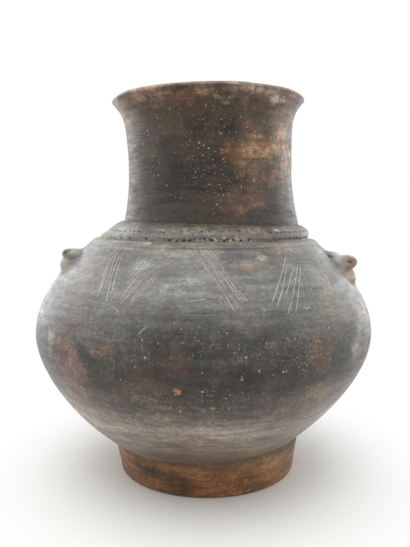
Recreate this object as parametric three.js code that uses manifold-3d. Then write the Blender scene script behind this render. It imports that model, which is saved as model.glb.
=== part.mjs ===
// Hand-built blackware vase, modelled as the pieces of clay that its potter luted together:
// floor, foot ring, lower and upper wall, collar strip, neck, lip, and the pellets of two lugs.
// Millimetres, +Z up, origin on the ground under the middle of the body.
import * as THREE from 'three';
import { mergeVertices } from 'three/addons/utils/BufferGeometryUtils.js';
import Module from 'manifold-3d';

const wasm = await Module();
wasm.setup();

// Heights, each measured from the one before
const floorClearance = 10;     // ground to the underside of the floor
const footHeight = 24.5;       // ground to the crease where foot and bowl meet
const bowlRise = 72.5;         // crease to the widest line
const shoulderRise = 58.6;     // widest line to the break under the collar
const crownRise = 1.8;         // break to the flat seat that carries the neck
const neckRootRise = 12.8;     // seat to the crease where collar and neck meet
const waistRise = 33.8;        // crease to the narrowest line of the neck
const flareRise = 38.8;        // narrowest line to the seam under the lip
const lipRise = 7.7;           // seam to the widest line of the lip
const rimCrown = 2.5;          // widest line of the lip to the top of the rim

// Outside radii
const footRadius = 61;         // just above the ground
const footTopRadius = 65;      // at the crease
const bellyRadius = 114.3;
const breakRadius = 79.6;        // where the shoulder's slope ends
const neckFootRadius = 61.5;
const neckRootRadius = 59.9;   // at the crease over the collar
const waistRadius = 55.7;
const lipSeamRadius = 59.4;
const rimRadius = 64.8;

// Clay thicknesses
const floorThickness = 8;
const wallThickness = 6;
const neckThickness = 6;
const footThickness = 8;
const rimThickness = 8;

// Seams and edges
const floorSeamRun = 50;       // middle of the floor to its seam, along the surface
const scarf = 4;               // how far a seam slants through the wall
const slipGap = 0.3;           // layer of slip between two pieces
const footEdge = 2;            // rounding where the foot meets the ground
const footLeanTop = 19.6;      // below this height the foot alone leans
const bowlLeanTop = 36.8;      // above this one the bowl stands straight again

// Collar strip, outward from the neck and upward from the seat
const rollWidth = 9.2;         // the rounded strip itself
const rollFoot = 3.9;
const grooveHeight = 2.9;      // punched groove under the strip
const grooveWidth = 3.2;       // strip to the crest of the small ridge outside it
const ridgeHeight = 3.3;       // the ridge then slopes down to the break of the shoulder

// Heights that other sizes hang on
const bellyHeight = footHeight + bowlRise;
const breakHeight = bellyHeight + shoulderRise;
const seatHeight = breakHeight + crownRise;
const neckRootHeight = seatHeight + neckRootRise;
const waistHeight = neckRootHeight + waistRise;
const lipSeamHeight = waistHeight + flareRise;
const rimHeight = lipSeamHeight + lipRise;

// The pot was built by hand and sits out of true. At each height its rings are shifted
// sideways, and they slope: the shift in millimetres, the slope as rise over run.
const outOfTrue = [
  { height: 0, shift: 2.4, slope: 0 },
  { height: footLeanTop, shift: 2.4, slope: 0.045 },
  { height: bowlLeanTop, shift: 0.7, slope: 0.025 },
  { height: bellyHeight, shift: 0, slope: 0 },
  { height: breakHeight, shift: 0.3, slope: -0.004 },
  { height: neckRootHeight, shift: 5.4, slope: -0.025 },
  { height: waistHeight, shift: 4.5, slope: 0 },
  { height: rimHeight, shift: 3.2, slope: 0.01 },
];

// Lugs. Each one sits at an angle round the pot, at a drop below the break of the shoulder. Its
// pellets go by the slope of the wall there: up along it, reach out of it, across and tall on it,
// and droop down from square to it.
const lugs = {
  left_lug: {
    angle: 194,
    drop: 11.2,
    pellets: {
      pad: { up: 2.2, reach: 2.2, across: 22, tall: 26.4, droop: 0 },
      upper_nub: { up: 6, reach: 10.4, across: 16, tall: 7.8, droop: 39 },
      lower_nub: { up: -3.1, reach: 5.5, across: 15, tall: 11.6, droop: 42 },
    },
  },
  right_lug: {
    angle: 346,
    drop: 13.6,
    pellets: {
      pad: { up: -0.2, reach: 2.4, across: 22, tall: 31, droop: 0 },
      top_nub: { up: 8.8, reach: 8.4, across: 13, tall: 6.2, droop: 48 },
      upper_nub: { up: 1.2, reach: 12.2, across: 17, tall: 11, droop: 38 },
      lower_nub: { up: -11, reach: 3.4, across: 14, tall: 7.6, droop: 43 },
    },
  },
};
const plumpness = 3.5;         // 2 is an egg, more is a fuller, squarer pellet

// Mesh fineness
const facets = 56;
const pelletSides = 16;
const pelletRings = 12;

// A curve from one [radius, height] to another. It leaves and arrives along the given shares
// of its own span and rise.
function sweep(from, to, leave, arrive) {
  const span = to[0] - from[0];
  const rise = to[1] - from[1];
  return new THREE.CubicBezierCurve(
    new THREE.Vector2(from[0], from[1]),
    new THREE.Vector2(from[0] + leave[0] * span, from[1] + leave[1] * rise),
    new THREE.Vector2(to[0] - arrive[0] * span, to[1] - arrive[1] * rise),
    new THREE.Vector2(to[0], to[1]),
  );
}

function joinCurves(...curves) {
  const path = new THREE.CurvePath();
  curves.forEach((curve) => path.add(curve));
  return path;
}

// Where a curve that only rises, or only widens, reaches a value
function shareWhere(curve, axis, value) {
  let low = 0;
  let high = 1;
  for (let i = 0; i < 30; i += 1) {
    const middle = (low + high) / 2;
    if (curve.getPoint(middle)[axis] < value) low = middle;
    else high = middle;
  }
  return low;
}

function spread(from, to, steps, place) {
  return Array.from({ length: steps + 1 }, (_, i) => place(from + ((to - from) * i) / steps));
}

// A point of a curve, moved into the clay by a depth, or out of it by a negative one
function sunk(curve, share, depth) {
  const tangent = curve.getTangent(share);
  return curve.getPoint(share).add(new THREE.Vector2(-tangent.y, tangent.x).multiplyScalar(depth));
}

function arc(centre, radii, from, to, steps) {
  return spread(from, to, steps, (angle) => new THREE.Vector2(
    centre[0] + radii[0] * Math.cos(angle),
    centre[1] + radii[1] * Math.sin(angle),
  ));
}

// Outside lines of the body and the neck
const crease = [footTopRadius, footHeight];
const widest = [bellyRadius, bellyHeight];
const shoulderBreak = [breakRadius, breakHeight];
const mouth = [neckFootRadius - neckThickness, seatHeight];
const underside = sweep([0, floorClearance], crease, [0.46, 0], [0.28, 0.96]);
const bowl = sweep(crease, widest, [0.69, 0.37], [0, 0.23]);
const shoulder = sweep(widest, shoulderBreak, [0, 0.42], [0.54, 0.34]);
const crown = sweep(shoulderBreak, mouth, [0.06, 0.85], [0.6, 0]);
const bodyLine = joinCurves(underside, bowl, shoulder, crown);
const creaseRun = underside.getLength();
const bellyRun = creaseRun + bowl.getLength();
const breakRun = bellyRun + shoulder.getLength();
const bodyRun = breakRun + crown.getLength();

const neckFoot = new THREE.Vector2(neckFootRadius, seatHeight + slipGap);
const neckRoot = new THREE.Vector2(neckRootRadius, neckRootHeight);
const lipSeam = [lipSeamRadius, lipSeamHeight];
const waist = [waistRadius, waistHeight];
const lowerNeck = sweep(neckRoot.toArray(), waist, [0.57, 0.33], [0, 0.36]);
const upperNeck = sweep(waist, lipSeam, [0, 0.75], [0.63, 0.13]);
const lipLine = sweep(lipSeam, [rimRadius, rimHeight], [0.23, 0.36], [0.15, 0.11]);

// Runs along the body's line: marks with a number of steps between each two
function stations(...marks) {
  const runs = [marks[0]];
  for (let i = 2; i < marks.length; i += 2) {
    runs.push(...spread(marks[i - 2], marks[i], marks[i - 1], (run) => run).slice(1));
  }
  return runs;
}

const baseStations = stations(0, 5, floorSeamRun);
const lowerStations = stations(floorSeamRun, 2, creaseRun, 8, bellyRun);
const upperStations = stations(bellyRun, 8, breakRun, 6, bodyRun);

// Section of one piece of the body. Its seams slant through the wall by the scarf.
function bodySection(runs) {
  const last = runs.length - 1;
  const seamBelow = runs[0] === 0 ? 0 : 1;
  const seamAbove = runs[last] === bodyRun ? 0 : 1;
  const trimmed = [...runs];
  trimmed[0] += seamBelow * slipGap / 2;
  trimmed[last] -= seamAbove * slipGap / 2;
  const inside = (run, i) => {
    const shift = scarf * THREE.MathUtils.lerp(seamBelow, seamAbove, i / last);
    const ease = THREE.MathUtils.smoothstep(run, 0, bellyRun);
    return sunk(bodyLine, (run - shift) / bodyRun, THREE.MathUtils.lerp(floorThickness, wallThickness, ease));
  };
  return [
    ...trimmed.map((run) => bodyLine.getPoint(run / bodyRun)),
    ...trimmed.map(inside).filter((_, i) => i % 2 === 0 || i === last).reverse(),
  ];
}

// Foot ring: stands flat on the ground, flares upward and fits under the bowl
function footSection() {
  const innerRadius = footRadius - footThickness;
  const innerTop = shareWhere(underside, 'x', footTopRadius - footThickness);
  const flare = spread(0.35, 0.7, 1, (share) => new THREE.Vector2(
    THREE.MathUtils.lerp(footRadius, footTopRadius, share), footHeight * share,
  ));
  return [
    ...arc([footRadius - footEdge, footEdge], [footEdge, footEdge], -Math.PI / 2, 0, 3),
    ...flare,
    ...spread(1, innerTop, 3, (share) => sunk(underside, share, -slipGap)),
    ...arc([innerRadius + footEdge, footEdge], [footEdge, footEdge], -Math.PI, -Math.PI / 2, 3),
  ];
}

// Collar: a rounded strip laid in the angle of shoulder and neck, a groove, and a small ridge
// that slopes out to the break. Underneath it follows the wall's own corners.
function collarSection() {
  const top = new THREE.Vector2(neckRoot.x + slipGap, neckRoot.y);
  const heel = new THREE.Vector2(neckFoot.x + slipGap, neckFoot.y);
  const rollEnd = new THREE.Vector2(top.x + rollWidth, seatHeight + rollFoot);
  const under = upperStations
    .filter((run) => run >= breakRun)
    .map((run) => sunk(bodyLine, run / bodyRun, -slipGap))
    .filter((point) => point.x > heel.x)
    .reverse();
  return [
    new THREE.Vector2(rollEnd.x + grooveWidth, seatHeight + ridgeHeight),
    new THREE.Vector2(rollEnd.x + grooveWidth / 3, seatHeight + grooveHeight),
    ...arc([top.x, rollEnd.y], [rollWidth, top.y - rollEnd.y], 0, Math.PI / 2, 6),
    heel,
    ...under,
  ];
}

// Neck: stands on the body's flat seat and ends under the lip
function neckSection() {
  const end = 1 - slipGap / upperNeck.getLength();
  const inner = [
    ...spread(end, 0, 3, (share) => sunk(upperNeck, share, neckThickness)),
    ...spread(1, 0, 3, (share) => sunk(lowerNeck, share, neckThickness)).slice(1),
  ];
  return [
    neckFoot,
    ...spread(0, 1, 4, (share) => lowerNeck.getPoint(share)),
    ...spread(0, end, 4, (share) => upperNeck.getPoint(share)).slice(1),
    ...inner,
    new THREE.Vector2(mouth[0], neckFoot.y),
  ];
}

// Lip: flares out, rounds over the rim and turns back down into the neck
function lipSection() {
  const root = sunk(upperNeck, 1, neckThickness);
  const rimInside = [rimRadius - rimThickness, rimHeight];
  const throat = sweep(rimInside, [root.x, root.y], [0.05, 0.3], [0.3, 0.5]);
  return [
    ...spread(0, 1, 4, (share) => lipLine.getPoint(share)),
    ...arc([rimRadius - rimThickness / 2, rimHeight], [rimThickness / 2, rimCrown], 0, Math.PI, 6).slice(1),
    ...spread(0, 1, 3, (share) => throat.getPoint(share)).slice(1),
  ];
}

// Positions only, shared corners merged, and no triangle without an area
function weld(geometry) {
  geometry.deleteAttribute('normal');
  geometry.deleteAttribute('uv');
  const merged = mergeVertices(geometry, 1e-4);
  const index = Array.from(merged.index.array);
  const kept = [];
  for (let i = 0; i < index.length; i += 3) {
    const [a, b, c] = index.slice(i, i + 3);
    if (a !== b && b !== c && c !== a) kept.push(a, b, c);
  }
  merged.setIndex(kept);
  return merged;
}

// A ring of clay with the given section
function turn(section) {
  const closes = section[0].x < 1e-6;
  const points = closes ? section : [...section, section[0]];
  const ring = new THREE.LatheGeometry(points, facets);
  ring.rotateX(Math.PI / 2);
  return weld(ring);
}

function toSolid(geometry) {
  return new wasm.Manifold(new wasm.Mesh({
    numProp: 3,
    vertProperties: new Float32Array(geometry.attributes.position.array),
    triVerts: new Uint32Array(geometry.index.array),
  }));
}

function fromSolid(solid) {
  const mesh = solid.getMesh();
  const geometry = new THREE.BufferGeometry();
  geometry.setAttribute('position', new THREE.BufferAttribute(new Float32Array(mesh.vertProperties), 3));
  geometry.setIndex(Array.from(mesh.triVerts));
  return geometry;
}

// One pressed-on pellet, grown by a margin where it cuts room for itself in a later one
function pellet(lug, shape, margin) {
  const share = shareWhere(shoulder, 'y', breakHeight - lug.drop);
  const uphill = shoulder.getTangent(share);
  const wall = shoulder.getPoint(share).addScaledVector(uphill, shape.up);
  const slope = Math.atan2(-uphill.x, uphill.y);
  const ball = new THREE.SphereGeometry(1, pelletSides, pelletRings);
  const place = ball.attributes.position;
  for (let i = 0; i < place.count; i += 1) {
    const point = new THREE.Vector3().fromBufferAttribute(place, i);
    const sum = point.toArray().reduce((total, value) => total + Math.abs(value) ** plumpness, 0);
    place.setXYZ(i, ...point.divideScalar(sum ** (1 / plumpness)));
  }
  ball.scale(shape.reach + margin, shape.across / 2 + margin, shape.tall / 2 + margin);
  ball.rotateY(THREE.MathUtils.degToRad(shape.droop) - slope);
  ball.translate(wall.x, 0, wall.y);
  ball.rotateZ(THREE.MathUtils.degToRad(lug.angle));
  return toSolid(weld(ball));
}

// Carries a straight shape to where it sits on the leaning pot
function settle(geometry) {
  const place = geometry.attributes.position;
  for (let i = 0; i < place.count; i += 1) {
    const height = place.getZ(i);
    const after = Math.max(1, outOfTrue.findIndex((key) => key.height > height));
    const above = outOfTrue[height >= rimHeight ? outOfTrue.length - 1 : after];
    const below = outOfTrue[outOfTrue.indexOf(above) - 1];
    const ease = THREE.MathUtils.smoothstep(height, below.height, above.height);
    const x = place.getX(i) + THREE.MathUtils.lerp(below.shift, above.shift, ease);
    place.setX(i, x);
    place.setZ(i, height + x * THREE.MathUtils.lerp(below.slope, above.slope, ease));
  }
  return geometry;
}

// Colours of the clay as fired
const sootBlack = { color: 0x2b2522, roughness: 0.55 };
const smokedGrey = { color: 0x4a433c, roughness: 0.5 };
const smokedBrown = { color: 0x44322a, roughness: 0.55 };
const bareClay = { color: 0x75492f, roughness: 0.75 };

const vase = new THREE.Group();

function addPiece(name, geometry, finish) {
  settle(geometry);
  geometry.computeVertexNormals();
  const piece = new THREE.Mesh(geometry, new THREE.MeshStandardMaterial({ ...finish, metalness: 0 }));
  piece.name = name;
  vase.add(piece);
}

addPiece('base', turn(bodySection(baseStations)), smokedBrown);
addPiece('foot_ring', turn(footSection()), bareClay);
addPiece('lower_wall', turn(bodySection(lowerStations)), smokedGrey);
addPiece('upper_wall', turn(bodySection(upperStations)), smokedGrey);
addPiece('collar_band', turn(collarSection()), smokedGrey);
addPiece('neck', turn(neckSection()), sootBlack);
addPiece('lip', turn(lipSection()), smokedBrown);

// Each pellet is cut by the wall behind it, by the collar over it and by the pellets before it
const collarReach = breakRadius + 3 * slipGap;
const potCore = toSolid(turn([
  new THREE.Vector2(0, bellyHeight),
  ...upperStations.filter((run) => run <= breakRun).map((run) => sunk(bodyLine, run / bodyRun, -slipGap)),
  new THREE.Vector2(collarReach, breakHeight),
  new THREE.Vector2(collarReach, neckRootHeight),
  new THREE.Vector2(0, neckRootHeight),
]));
for (const [name, lug] of Object.entries(lugs)) {
  let taken = potCore;
  for (const [part, shape] of Object.entries(lug.pellets)) {
    addPiece(`${name}_${part}`, fromSolid(pellet(lug, shape, 0).subtract(taken)), smokedBrown);
    taken = taken.add(pellet(lug, shape, slipGap));
  }
}

export default vase;
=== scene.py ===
# Hand-built blackware vase: burnished, smoke-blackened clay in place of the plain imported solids.
# Sizes in the dictionaries are millimetres, angles are degrees, finished meshes are metres.
import math
import random

import bmesh
import bpy
from mathutils import Matrix, Vector, kdtree, noise
from mathutils.bvhtree import BVHTree
from mathutils.geometry import interpolate_bezier


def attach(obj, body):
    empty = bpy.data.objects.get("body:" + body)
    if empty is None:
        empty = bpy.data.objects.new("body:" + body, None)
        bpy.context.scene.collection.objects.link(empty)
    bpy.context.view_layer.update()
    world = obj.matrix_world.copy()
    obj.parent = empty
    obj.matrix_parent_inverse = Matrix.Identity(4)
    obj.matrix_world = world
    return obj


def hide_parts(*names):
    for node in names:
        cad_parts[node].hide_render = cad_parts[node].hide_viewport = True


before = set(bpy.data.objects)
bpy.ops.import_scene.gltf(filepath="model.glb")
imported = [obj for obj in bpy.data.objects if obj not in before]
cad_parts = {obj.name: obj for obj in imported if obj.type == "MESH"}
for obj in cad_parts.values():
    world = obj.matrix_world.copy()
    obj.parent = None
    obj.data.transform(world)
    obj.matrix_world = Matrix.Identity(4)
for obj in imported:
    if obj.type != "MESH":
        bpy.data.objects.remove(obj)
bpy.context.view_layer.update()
scene = bpy.context.scene
millimetre = 0.001
dice = random.Random(11)
noise.seed_set(11)

# Camera of the photograph, whose frame is 410 x 547 pixels
view = {
    "at": (1.0, -417.5, 177.1), "pitch": 5.82, "focal": 600, "centre": (205, 273.5), "tall": 547,
    "sensor": 36,
    # Distances at which a missed point is looked for
    "depths": (300, 500, 2),
}

camera = bpy.data.objects.new("camera", bpy.data.cameras.new("camera"))
scene.collection.objects.link(camera)
camera.data.sensor_width = view["sensor"]
camera.data.lens = view["focal"] * view["sensor"] / view["tall"]
camera.data.clip_start = 0.01
camera.location = Vector(view["at"]) * millimetre
camera.rotation_euler = (math.radians(90 - view["pitch"]), 0, 0)
scene.camera = camera
scene.view_settings.view_transform = "Standard"


def sightLine(pixel):
    across = (pixel[0] - view["centre"][0]) / view["focal"]
    down = (pixel[1] - view["centre"][1]) / view["focal"]
    turn = Matrix.Rotation(math.radians(90 - view["pitch"]), 3, "X")
    return turn @ Vector((across, -down, -1)).normalized()


# Outline of the pot, as in the solids. Corners are (radius, height).
pot = {
    "crease": (65, 24.5), "widest": (114.25, 97), "break": (78.6, 156.6), "mouth": (55.5, 157.4),
    "neckRoot": (59.9, 170.2), "waist": (55.7, 204), "lipSeam": (59.4, 242.8), "rim": (64.75, 250.5),
    "floorClearance": 10, "footRadius": 61, "neckFootRadius": 61.5, "rimThickness": 8,
    "rimCrown": 2.45, "floor": 8, "wall": 6, "foot": 8, "footEdge": 2,
}

# Height, sideways shift and slope of the rings: the pot leans as it does in the solids
outOfTrue = [
    (0, 2.4, 0), (19.6, 2.4, 0.045), (36.8, 0.7, 0.025), (97, 0, 0), (155.6, 0.3, -0.004),
    (170.2, 5.4, -0.025), (204, 4.5, 0), (250.5, 3.2, 0.01),
]


# Darkening in the creases: painted shade with some soot
dirtAndShade = {
    # Radius, height, reach, amount, and from where to where (left to right) it lies thick
    "creases": [
        (70.3, 160.3, 1.1, 0.7, -36, 44), (79, 156.3, 1.1, 0.75, -30, 34),
        (60.4, 171, 2.2, 1, -70, 70), (59.8, 242.4, 1.3, 0.5, -70, 70),
        (65.2, 24.8, 1.3, 0.35, -70, 70), (115, 97, 0.5, 0.25, -120, 120),
    ],
    # Share left where it is thin, fading outside and inside the ends, size of the patches
    "thin": 0.3, "outside": 14, "inside": 6, "patches": 9,
}


def eased(low, high, value):
    share = min(max((value - low) / (high - low), 0), 1)
    return share * share * (3 - 2 * share)


def settle(point):
    shift, slope = outOfTrue[-1][1:]
    for below, above in zip(outOfTrue, outOfTrue[1:]):
        if point.z < above[0]:
            ease = eased(below[0], above[0], point.z)
            shift = below[1] + (above[1] - below[1]) * ease
            slope = below[2] + (above[2] - below[2]) * ease
            break
    x = point.x + shift
    return Vector((x, point.y, point.z + x * slope))


# Unevenness of hand work. It only goes inwards, so that the pot stays inside its solids.
handWork = {
    # Swells, dents and strokes: size across, size up and down, shift, depth
    "patterns": [(46, 28.75, 0, 0.34), (17, 7.7273, 150, 0.16), (34, 2.6, 0, 0.07)],
    # Valley under the collar: height, reach, depth
    "valley": (156.4, 0.8, 0.75),
    # Sagging lip: between which heights, size across, depth
    "sag": (238, 252, 30, 0.25),
    # The rest of the foot is flat below the first height
    "flatFoot": (0.5, 6),
}


def handMade(point):
    around = Vector((point.x, point.y, 0))
    if around.length < 1:
        return point
    push, levels = 0, []
    for across, tall, shift, depth in handWork["patterns"]:
        place = Vector(((point.x + shift) / across, point.y / across, point.z / tall))
        levels.append(noise.noise(place))
        push += depth * (levels[-1] + 1) / 2
    height, reach, depth = handWork["valley"]
    push += depth * math.exp(-((point.z - height) / reach) ** 2) * (0.7 + 0.5 * levels[0])
    low, high, across, depth = handWork["sag"]
    sag = depth * (noise.noise(around / across) + 1) * eased(low, high, point.z)
    moved = point - around.normalized() * push * eased(*handWork["flatFoot"], point.z)
    return moved - Vector((0, 0, sag))


def curve(start, end, leave, arrive, steps=48):
    span, rise = end[0] - start[0], end[1] - start[1]
    knots = [
        start, (start[0] + leave[0] * span, start[1] + leave[1] * rise),
        (end[0] - arrive[0] * span, end[1] - arrive[1] * rise), end,
    ]
    return interpolate_bezier(*[Vector((x, 0, z)) for x, z in knots], steps + 1)


def join(*lines):
    joined = list(lines[0])
    for line in lines[1:]:
        joined += line[1:]
    return joined


def evenly(points, spacing):
    runs = [0]
    for a, b in zip(points, points[1:]):
        runs.append(runs[-1] + (b - a).length)
    count = max(1, round(runs[-1] / spacing))
    picked, at = [], 0
    for i in range(count + 1):
        target = runs[-1] * i / count
        while at < len(points) - 2 and runs[at + 1] < target:
            at += 1
        picked.append(points[at].lerp(points[at + 1], (target - runs[at]) / (runs[at + 1] - runs[at])))
    return picked


def sunk(points, depths):
    moved = []
    for i, point in enumerate(points):
        ahead, behind = points[min(i + 1, len(points) - 1)], points[max(i - 1, 0)]
        run = (ahead - behind).normalized()
        depth = depths[0] + (depths[1] - depths[0]) * i / (len(points) - 1)
        moved.append(point + Vector((-run.z, 0, run.x)) * depth)
    return moved


def roundOff(centre, radii, start, end, steps):
    turns = [start + (end - start) * i / steps for i in range(steps + 1)]
    return [
        Vector((centre[0] + radii[0] * math.cos(a), 0, centre[1] + radii[1] * math.sin(a)))
        for a in turns
    ]


def corner(x, z):
    return Vector((x, 0, z))


underLine = curve((0, pot["floorClearance"]), pot["crease"], (0.46, 0), (0.28, 0.96))
bowlLine = curve(pot["crease"], pot["widest"], (0.69, 0.37), (0, 0.23))
shoulderLine = curve(pot["widest"], pot["break"], (0, 0.42), (0.54, 0.34))
crownLine = curve(pot["break"], pot["mouth"], (0.06, 0.85), (0.6, 0), 12)
lowerNeckLine = curve(pot["neckRoot"], pot["waist"], (0.57, 0.33), (0, 0.36))
upperNeckLine = curve(pot["waist"], pot["lipSeam"], (0, 0.75), (0.63, 0.13))
lipLine = curve(pot["lipSeam"], pot["rim"], (0.23, 0.36), (0.15, 0.11), 16)


def turned(name, section, segments, shaped=None):
    bm = bmesh.new()
    corners = [bm.verts.new(point) for point in section]
    pairs = list(zip(corners, corners[1:]))
    if section[0].x > 0.01:
        pairs.append((corners[-1], corners[0]))
    sides = [bm.edges.new(pair) for pair in pairs]
    bmesh.ops.spin(
        bm, geom=corners + sides, cent=(0, 0, 0), axis=(0, 0, 1), angle=math.tau,
        steps=segments, use_merge=True,
    )
    bmesh.ops.remove_doubles(bm, verts=bm.verts, dist=0.01)
    bm.verts.layers.float.new("bareAndSheen")
    grimeAndShade = bm.verts.layers.float.new("grimeAndShade")
    # Creases are darkened here: painted shade with some soot
    for vert in bm.verts:
        radius = math.hypot(vert.co.x, vert.co.y)
        patchy = 0.85 + 0.7 * noise.noise(vert.co / dirtAndShade["patches"])
        for line, height, reach, amount, start, end in dirtAndShade["creases"]:
            away = math.hypot(radius - line, vert.co.z - height) / reach
            thick = eased(start - dirtAndShade["outside"], start + dirtAndShade["inside"], vert.co.x)
            thick *= eased(end + dirtAndShade["outside"], end - dirtAndShade["inside"], vert.co.x)
            thick = amount * patchy * (dirtAndShade["thin"] + (1 - dirtAndShade["thin"]) * thick)
            vert[grimeAndShade] = max(vert[grimeAndShade], thick * (1 - away * away))
        if shaped:
            vert.co = shaped(vert.co)
        vert.co = settle(handMade(vert.co)) * millimetre
    bmesh.ops.recalc_face_normals(bm, faces=bm.faces)
    print("turned", name, len(bm.faces), "faces")
    return bm


def added(name, bm):
    made = bpy.data.objects.new(name, bpy.data.meshes.new(name))
    bm.to_mesh(made.data)
    bm.free()
    scene.collection.objects.link(made)
    return made


def finished(name, bm, slot, nodes, sharpness=35):
    for face in bm.faces:
        face.smooth = True
    piece = added(name, bm)
    piece.data.set_sharp_from_angle(angle=math.radians(sharpness))
    piece.data.materials.append(finishes[slot])
    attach(piece, "root")
    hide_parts(*nodes)
    return piece


# Places on the clay: through a pixel of the photograph (lists run across, down, across, down),
# or at an angle from the front
def pixels(flat):
    return list(zip(flat[::2], flat[1::2]))


def seenAt(tree, pixel):
    place, up, _, _ = tree.ray_cast(camera.location, sightLine(pixel))
    return place, up


def grazed(tree, pixel):
    # A line of sight close to an outline may just miss it, and then the nearest point counts
    place, up = seenAt(tree, pixel)
    if place is None:
        steps = [camera.location + sightLine(pixel) * i * millimetre for i in range(*view["depths"])]
        place, up, _, _ = min((tree.find_nearest(step) for step in steps), key=lambda found: found[3])
    return place, up


def placedAt(tree, angle, height, tilt=0):
    turn, lean = math.radians(angle), math.radians(tilt)
    out = Vector((math.sin(turn) * math.cos(lean), -math.cos(turn) * math.cos(lean), math.sin(lean)))
    shift = settle(corner(0, height)).x
    target = Vector((shift, 0, height)) * millimetre
    axisDistance, outwards = 0.07, 0.1
    level = Vector((out.x, out.y, 0)).normalized() * axisDistance
    place, up, _, _ = tree.ray_cast(target + level + out * outwards, -out)
    return place, up


# Lines scratched into the clay: the surface is cut along both edges and the middle of each
# line, and the middle is pressed in
scratching = {
    # Metres from a bundle, from the ends of a line and from its sides within which faces are cut
    "aroundBundle": 0.004, "pastEnds": 0.0012, "besideLine": 0.0025, "sameVertex": 3e-6,
    # Depth at the very ends of a line, and how soon it is full
    "endDepth": 0.15, "deepening": 12,
}


def scratched(bm, bundles, width, depth):
    half = width * millimetre / 2
    bareAndSheen = bm.verts.layers.float["bareAndSheen"]
    for bundle in bundles:
        ends = [place for line in bundle for place, _ in line]
        centre = sum(ends, Vector()) / len(ends)
        reach = max((place - centre).length for place in ends) + scratching["aroundBundle"]
        patch = {face for face in bm.faces if (face.calc_center_median() - centre).length < reach}
        strokes = [(a, b, (a[0] + b[0]) / 2) for line in bundle for a, b in zip(line, line[1:])]
        for (start, up), (end, _), middle in strokes:
            side = (end - start).cross(up).normalized()
            for offset in (-half, 0, half):
                near = []
                longest = (end - start).length / 2 + scratching["pastEnds"]
                for face in patch:
                    away = face.calc_center_median() - middle
                    if away.length < longest and abs(away.dot(side)) < scratching["besideLine"]:
                        near.append(face)
                near += {edge for face in near for edge in face.edges} | {
                    vert for face in near for vert in face.verts}
                cut = bmesh.ops.bisect_plane(
                    bm, geom=near, dist=scratching["sameVertex"], plane_co=middle + side * offset,
                    plane_no=side)
                patch |= {part for part in cut["geom"] if isinstance(part, bmesh.types.BMFace)}
        for vert in {vert for face in patch for vert in face.verts}:
            push, way = 0, None
            for line in bundle:
                for i, ((start, up), (end, _)) in enumerate(zip(line, line[1:])):
                    run = end - start
                    share = (vert.co - start).dot(run) / run.length_squared
                    if -0.02 <= share <= 1.02:
                        away = (vert.co - start - run * share).cross(run.normalized()).length
                        along = (i + share) / (len(line) - 1)
                        taper = scratching["deepening"] * min(along, 1 - along)
                        taper = min(1, taper + scratching["endDepth"])
                        here = max(0, 1 - away / half) * max(0, taper)
                        if here > push:
                            push, way = here, up
            if push > 0:
                vert.co -= way * depth * millimetre * push
                vert[bareAndSheen] = max(vert[bareAndSheen], push)
    print("scratched", sum(len(bundle) for bundle in bundles), "lines")


# Round dents: punched dots, chips and pits. Each is (place, up, radius, depth, paleness), and
# those with a paleness below nothing are darkened with painted shade and some soot. Their outline
# is ragged by a fine grain, and the wall's far side isn't touched.
denting = {"ragged": 0.6, "grain": 700, "through": 0.003, "roundness": 0.7}


def dented(bm, dents, fineness):
    marks = kdtree.KDTree(len(dents))
    for i, dent in enumerate(dents):
        marks.insert(dent[0], i)
    marks.balance()
    for scale in fineness:
        edges = []
        for edge in bm.edges:
            _, i, away = marks.find((edge.verts[0].co + edge.verts[1].co) / 2)
            if away < dents[i][2] * millimetre * scale:
                edges.append(edge)
        bmesh.ops.subdivide_edges(bm, edges=edges, cuts=1, use_grid_fill=True)
    bareAndSheen = bm.verts.layers.float["bareAndSheen"]
    grimeAndShade = bm.verts.layers.float["grimeAndShade"]
    for vert in bm.verts:
        _, i, away = marks.find(vert.co)
        place, up, radius, depth, paleness = dents[i]
        ragged = 1 + denting["ragged"] * noise.noise(vert.co * denting["grain"])
        share = away / (radius * millimetre * ragged)
        if share < 1 and (vert.co - place).dot(up) > -denting["through"]:
            vert.co -= up * depth * millimetre * (1 - share ** 2) ** denting["roundness"]
            vert[bareAndSheen] = max(vert[bareAndSheen], paleness * min(1, 2 - 2 * share))
            vert[grimeAndShade] = max(vert[grimeAndShade], -paleness * min(1, 2.5 - 2.5 * share))
    print("dented", len(dents), "marks,", len(bm.faces), "faces")


# Shader pieces
def screenColour(text):
    parts = [int(text[i:i + 2], 16) / 255 for i in (0, 2, 4)]
    return [((part + 0.055) / 1.055) ** 2.4 for part in parts] + [1]


def addNode(tree, kind, inputs=None, **settings):
    made = tree.nodes.new("ShaderNode" + kind)
    for name, value in settings.items():
        setattr(made, name, value)
    for name, value in (inputs or {}).items():
        if isinstance(value, bpy.types.NodeSocket):
            tree.links.new(value, made.inputs[name])
        else:
            made.inputs[name].default_value = value
    return made


def emptied(holder):
    holder.use_nodes = True
    holder.node_tree.nodes.clear()
    return holder.node_tree


def mathNode(tree, operation, *values):
    return addNode(tree, "Math", dict(enumerate(values)), operation=operation).outputs[0]


def times(tree, first, second):
    return mathNode(tree, "MULTIPLY", first, second)


def vectorNode(tree, operation, *values, output=0):
    return addNode(tree, "VectorMath", dict(enumerate(values)), operation=operation).outputs[output]


def mixColours(tree, share, first, second, blend="MIX"):
    if isinstance(second, str):
        second = screenColour(second)
    made = addNode(tree, "Mix", {0: share, 6: first, 7: second}, data_type="RGBA", blend_type=blend)
    return made.outputs[2]


def noiseNode(tree, vector, scale, detail=3, roughness=0.55):
    return addNode(tree, "TexNoise", {
        "Vector": vector, "Scale": scale, "Detail": detail, "Roughness": roughness}).outputs["Fac"]


def ranged(tree, value, low, high, toLow=0, toHigh=1):
    return addNode(tree, "MapRange", {
        "Value": value, "From Min": low, "From Max": high, "To Min": toLow, "To Max": toHigh,
    }, interpolation_type="SMOOTHSTEP").outputs["Result"]
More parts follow.
